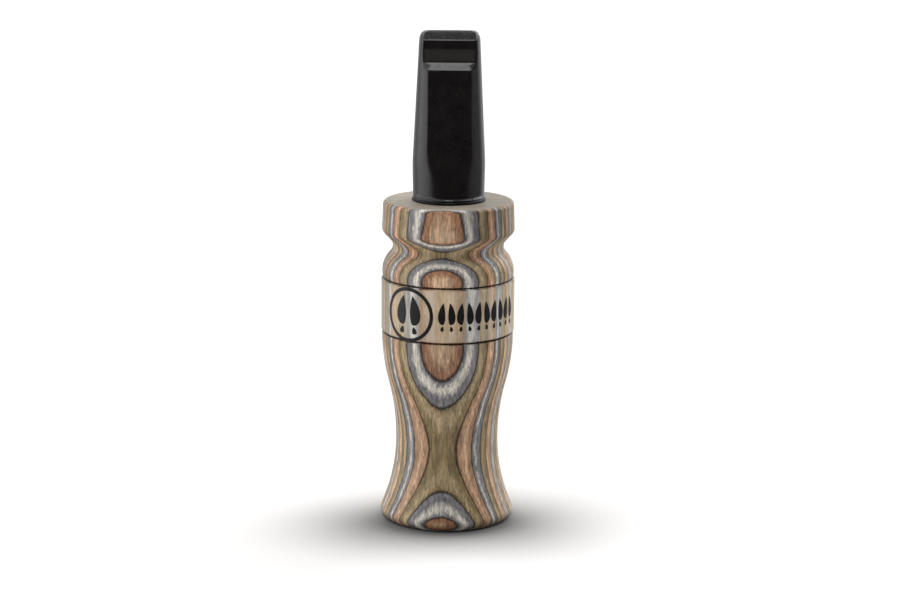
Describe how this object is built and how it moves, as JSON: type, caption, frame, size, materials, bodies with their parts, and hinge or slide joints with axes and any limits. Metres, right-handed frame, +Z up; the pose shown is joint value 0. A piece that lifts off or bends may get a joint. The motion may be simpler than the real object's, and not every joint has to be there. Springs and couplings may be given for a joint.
{
  "type": "grunt call",
  "caption": "Short turned laminated-wood game call with a waisted barrel, a lanyard neck and a black duckbill mouthpiece holding a reed set.",
  "frame": {"origin": "middle of the bell's foot, on the surface the call stands on", "axes": "+Z up along the call's axis to the blowing slot; the duckbill's flats face -Y and +Y, and its slot runs along X"},
  "size_m": [0.032, 0.032, 0.1182],
  "materials": {
    "laminated_wood": "satin lacquer",
    "printed_label": "satin",
    "black_plastic": "gloss",
    "seal_rubber": "matte",
    "toneboard_plastic": "satin",
    "wedge_plastic": "matte",
    "reed_film": "frosted",
    "ring_rubber": "matte"
  },
  "bodies": {
    "barrel": {"barrel": "laminated_wood", "label_band": "printed_label"},
    "seals": {"lower_o_ring": "seal_rubber", "upper_o_ring": "seal_rubber"},
    "mouthpiece": {"mouthpiece": "black_plastic"},
    "toneboard": {"toneboard": "toneboard_plastic"},
    "wedge": {"wedge": "wedge_plastic"},
    "reed": {"reed": "reed_film"},
    "tuning_ring": {"tuning_ring": "ring_rubber"}
  },
  "joints": [
    {"name": "mouthpiece_pull", "type": "slide", "parent": "barrel", "child": "seals", "axis": [0, 0, 1], "range_m": [0, 0.026]},
    {"name": "mouthpiece_turn", "type": "hinge", "parent": "seals", "child": "mouthpiece", "pos_m": [0, 0, 0.067], "axis": [0, 0, 1], "continuous": true},
    {"name": "toneboard_pull", "type": "slide", "parent": "mouthpiece", "child": "toneboard", "axis": [0, 0, -1], "range_m": [0, 0.014]},
    {"name": "wedge_pull", "type": "slide", "parent": "toneboard", "child": "wedge", "axis": [0, 0, -1], "range_m": [0, 0.0125]},
    {"name": "reed_flex", "type": "hinge", "parent": "toneboard", "child": "reed", "pos_m": [0, -0.00017, 0.0686], "axis": [1, 0, 0], "range_deg": [-1.7, 0.6], "stiffness_Nm_per_rad": 0.01, "deforming": ["reed"]},
    {"name": "tuning_slide", "type": "slide", "parent": "toneboard", "child": "tuning_ring", "axis": [0, 0, 1], "range_m": [-0.0035, 0.005]}
  ]
}
